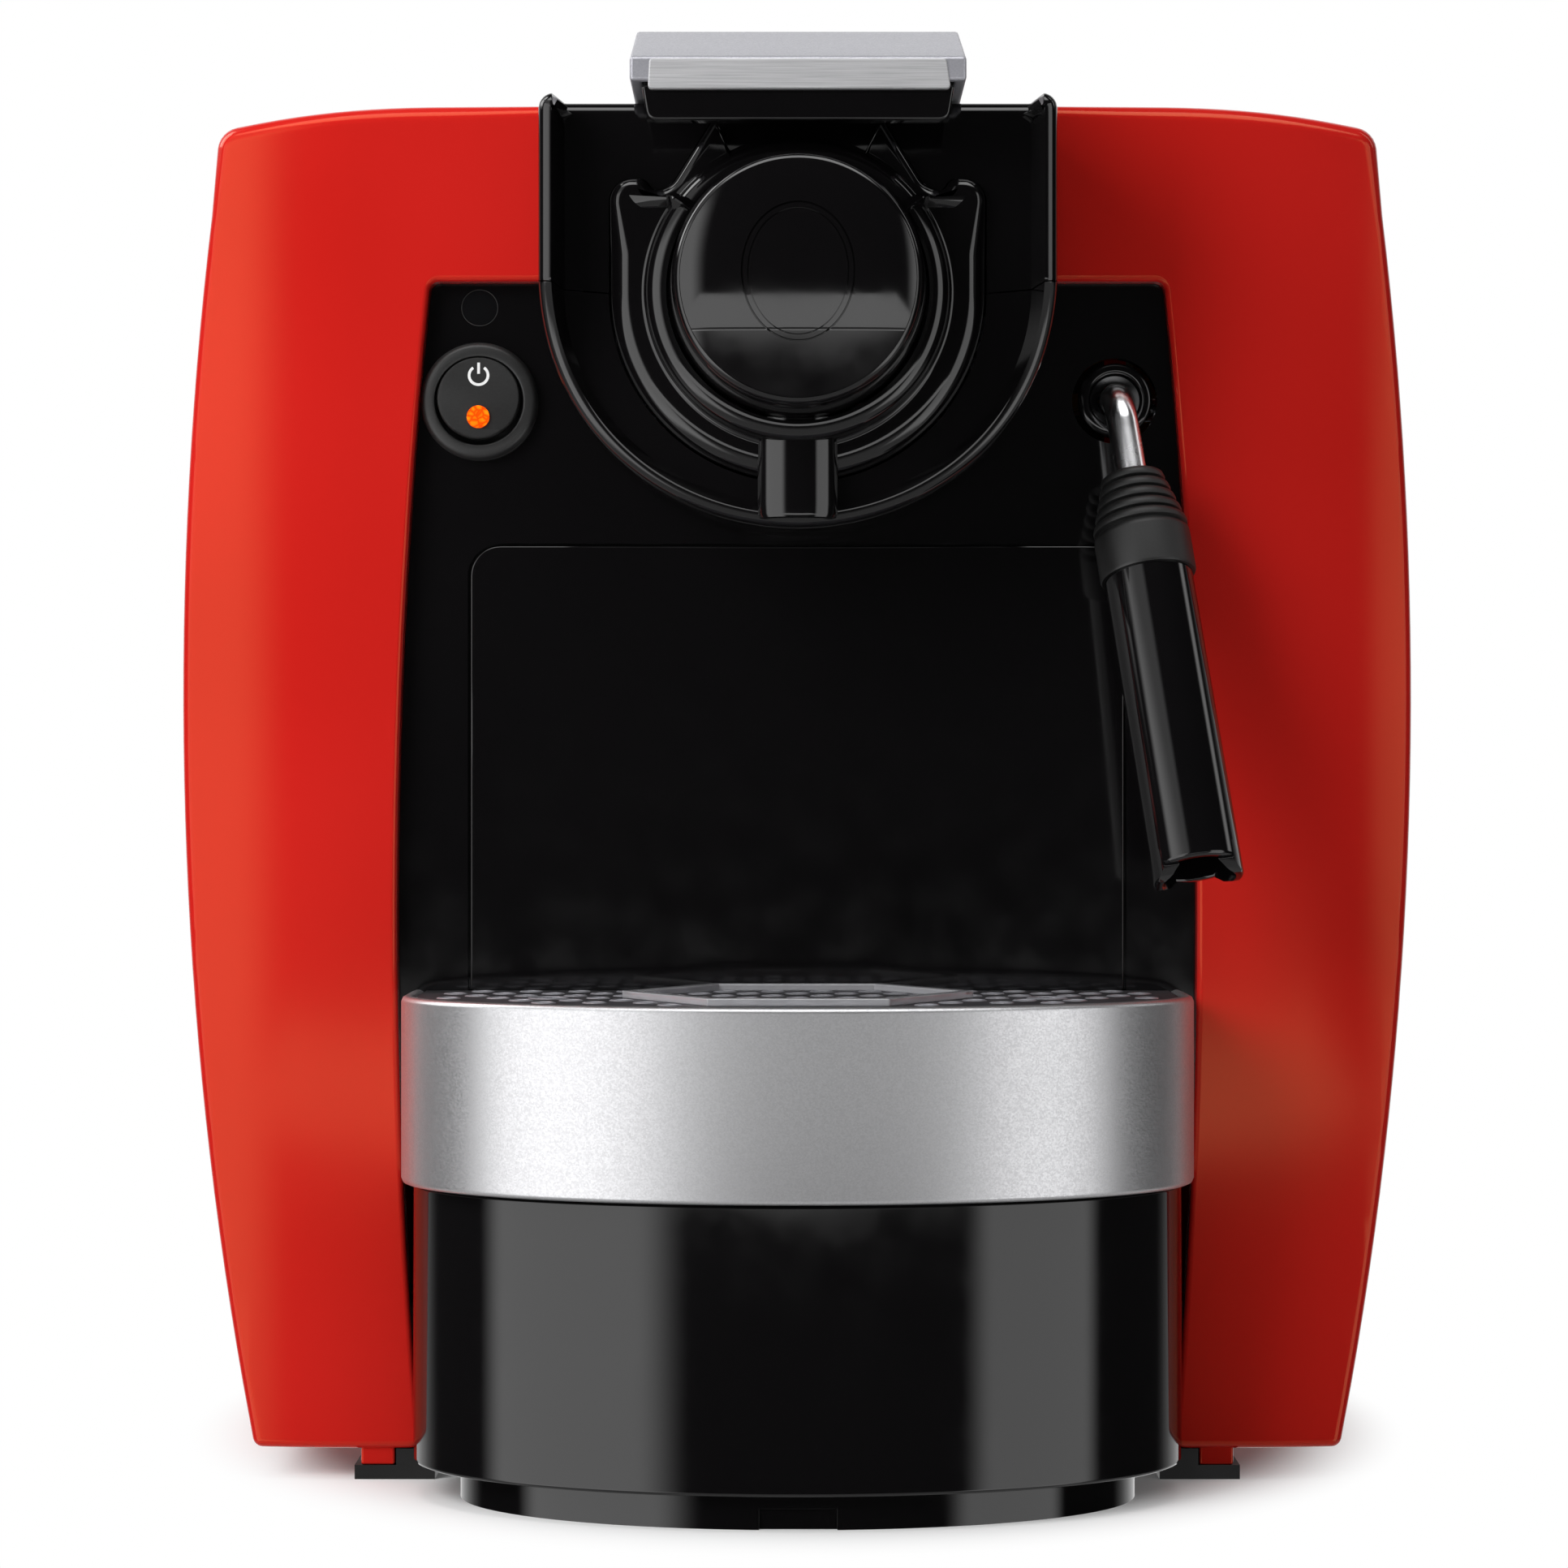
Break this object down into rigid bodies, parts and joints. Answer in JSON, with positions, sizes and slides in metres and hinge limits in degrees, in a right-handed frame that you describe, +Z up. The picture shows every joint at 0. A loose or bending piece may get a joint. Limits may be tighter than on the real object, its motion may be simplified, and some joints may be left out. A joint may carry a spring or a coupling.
{
  "type": "pod coffee machine",
  "caption": "Pod coffee machine: red side shells, black lever brew group, steam wand, silver drip tray over a pod drawer and a lift-off water tank.",
  "frame": {"origin": "on the floor, under the middle of the whole machine", "axes": "+Z up, -Y towards the user, +X to the user's right"},
  "size_m": [0.262, 0.31, 0.3041],
  "materials": {
    "red_shell": "gloss moulded",
    "gloss_black": "gloss moulded",
    "satin_black": "satin moulded",
    "black_plastic": "fine grained",
    "lamp_lens": "smoked",
    "orange_lens": "translucent",
    "silver_paint": "satin metallic paint",
    "grille_grey": "satin",
    "clear_rest": "clear moulded",
    "steel": "polished",
    "aluminium": "cast",
    "brass": "machined",
    "rubber": "matte",
    "red_silicone": "satin",
    "hose": "silicone",
    "smoke_tank": "clear smoked",
    "circuit_board": "coated"
  },
  "bodies": {
    "casing": {"side_shell_left": "red_shell", "side_shell_right": "red_shell", "front_panel": "gloss_black", "front_cover": "gloss_black", "top_block": "gloss_black", "group_bowl": "gloss_black", "brew_cap": "gloss_black", "coffee_spout": "gloss_black", "indicator_lens": "lamp_lens", "switch_bezel": "satin_black", "switch_body": "satin_black", "steam_rosette": "gloss_black", "base_nose": "gloss_black", "base_plate": "black_plastic", "feet": "rubber", "screws": "steel", "rear_cover": "black_plastic", "tank_bay": "black_plastic", "tank_seat": "black_plastic", "suction_hose": "hose", "pump": "black_plastic", "pump_mounts": "rubber", "pressure_hose": "hose", "thermoblock": "aluminium", "thermoblock_bracket": "steel", "thermostats": "black_plastic", "steam_valve": "brass", "steam_pipe": "steel", "brew_chamber": "aluminium", "group_frame": "steel", "lever_pin": "steel", "control_board": "circuit_board", "mains_inlet": "black_plastic", "pod_guide": "black_plastic", "pod_chute": "black_plastic"},
    "lever": {"lever_body": "gloss_black", "lever_cover": "silver_paint"},
    "piston": {"piston": "aluminium", "piston_seal": "red_silicone", "shower_screen": "steel", "cross_pin": "steel", "feed_tube": "steel"},
    "rocker": {"rocker_button": "satin_black", "rocker_lens": "orange_lens"},
    "wand": {"steam_tube": "steel", "wand_grip": "rubber", "frother_sleeve": "gloss_black", "frother_nozzle": "steel"},
    "knob": {"steam_knob": "satin_black", "steam_spindle": "steel"},
    "drawer": {"pod_drawer": "gloss_black"},
    "tray": {"drip_ring": "silver_paint", "drip_tub": "black_plastic"},
    "grille": {"drip_grille": "grille_grey", "cup_rest": "clear_rest"},
    "tank": {"water_tank": "smoke_tank", "tank_valve": "rubber", "lid_pin": "steel"},
    "lid": {"tank_lid": "smoke_tank"}
  },
  "joints": [
    {"name": "lever_hinge", "type": "hinge", "parent": "casing", "child": "lever", "pos_m": [0, -0.022, 0.247], "axis": [-1, 0, 0], "range_deg": [0, 75]},
    {"name": "piston_slide", "type": "slide", "parent": "casing", "child": "piston", "axis": [0, 1, 0], "range_m": [0, 0.014]},
    {"name": "rocker_hinge", "type": "hinge", "parent": "casing", "child": "rocker", "pos_m": [-0.0675, -0.0818, 0.2284], "axis": [1, 0, 0], "range_deg": [0, 14]},
    {"name": "wand_swing", "type": "hinge", "parent": "casing", "child": "wand", "pos_m": [0.0675, -0.077, 0.2286], "axis": [0, -1, 0], "range_deg": [-20, 55]},
    {"name": "steam_knob_turn", "type": "hinge", "parent": "casing", "child": "knob", "pos_m": [0.088, 0.015, 0.291], "axis": [0, 0, 1], "range_deg": [0, 270]},
    {"name": "drawer_slide", "type": "slide", "parent": "casing", "child": "drawer", "axis": [0, -1, 0], "range_m": [0, 0.12]},
    {"name": "tray_slide", "type": "slide", "parent": "drawer", "child": "tray", "axis": [0, -1, 0], "range_m": [0, 0.11]},
    {"name": "grille_lift", "type": "slide", "parent": "tray", "child": "grille", "axis": [0, 0, 1], "range_m": [0, 0.012]},
    {"name": "tank_lift", "type": "slide", "parent": "casing", "child": "tank", "axis": [0, 0, 1], "range_m": [0, 0.23]},
    {"name": "lid_hinge", "type": "hinge", "parent": "tank", "child": "lid", "pos_m": [0, 0.149, 0.288], "axis": [-1, 0, 0], "range_deg": [0, 90]}
  ],
  "couplings": [
    {"joint": "piston_slide", "follows": "lever_hinge", "m_per_rad": 0.010695}
  ]
}
